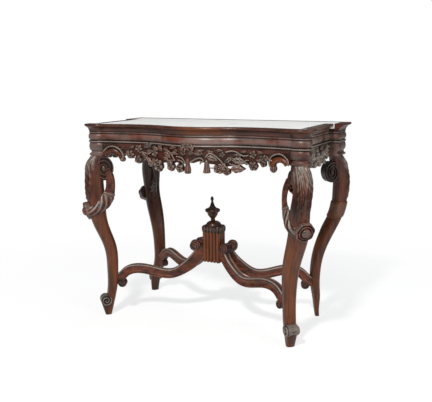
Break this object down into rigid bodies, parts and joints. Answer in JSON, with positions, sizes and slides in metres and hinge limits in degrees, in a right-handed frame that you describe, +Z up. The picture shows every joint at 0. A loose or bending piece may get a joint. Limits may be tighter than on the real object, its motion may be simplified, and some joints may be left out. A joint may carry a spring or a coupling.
{
  "type": "pier table",
  "caption": "Carved serpentine pier table with a loose marble slab in a moulded rim, cabriole legs with scroll branches and an S-arm stretcher with an urn finial.",
  "frame": {"origin": "on the floor under the middle of the table", "axes": "+X along the front towards the right end, -Y towards the serpentine front, +Z up"},
  "size_m": [1, 0.5562, 0.806],
  "materials": {
    "marble": "polished pale marble",
    "polished_wood": "dark red-brown rosewood with a satin polish",
    "carved_wood": "dark red-brown rosewood carving, grey-green dust on the crests",
    "inner_wood": "plain unpolished wood"
  },
  "bodies": {
    "table": {"arm_dowels": "inner_wood", "bearer_left": "inner_wood", "bearer_right": "inner_wood", "carved_skirt_front": "carved_wood", "carved_skirt_left": "carved_wood", "carved_skirt_right": "carved_wood", "corner_block_back_left": "polished_wood", "corner_block_back_right": "polished_wood", "corner_block_front_left": "polished_wood", "corner_block_front_right": "polished_wood", "finial": "polished_wood", "finial_base": "polished_wood", "knee_seat_back_right": "polished_wood", "leg_back_left": "polished_wood", "leg_back_right": "polished_wood", "leg_dowels": "inner_wood", "leg_front_left": "polished_wood", "leg_front_right": "polished_wood", "rail_back": "polished_wood", "rail_dowels": "inner_wood", "rail_front": "polished_wood", "rail_left": "polished_wood", "rail_right": "polished_wood", "rim_back": "polished_wood", "rim_corner_back_left": "polished_wood", "rim_corner_back_right": "polished_wood", "rim_corner_front_left": "polished_wood", "rim_corner_front_right": "polished_wood", "rim_front": "polished_wood", "rim_left": "polished_wood", "rim_right": "polished_wood", "rosette_back_left": "carved_wood", "rosette_front_left": "carved_wood", "rosette_front_right": "carved_wood", "scroll_branch_back_left": "carved_wood", "scroll_branch_front_left": "carved_wood", "scroll_branch_front_right": "carved_wood", "stretcher_arm_back_left": "polished_wood", "stretcher_arm_back_right": "polished_wood", "stretcher_arm_front_left": "polished_wood", "stretcher_arm_front_right": "polished_wood", "stretcher_capital": "polished_wood", "stretcher_hub": "polished_wood"},
    "slab": {"marble_slab": "marble"}
  },
  "joints": [
    {"name": "slab_lift", "type": "slide", "parent": "table", "child": "slab", "axis": [0, 0, 1], "range_m": [0, 0.06]}
  ]
}
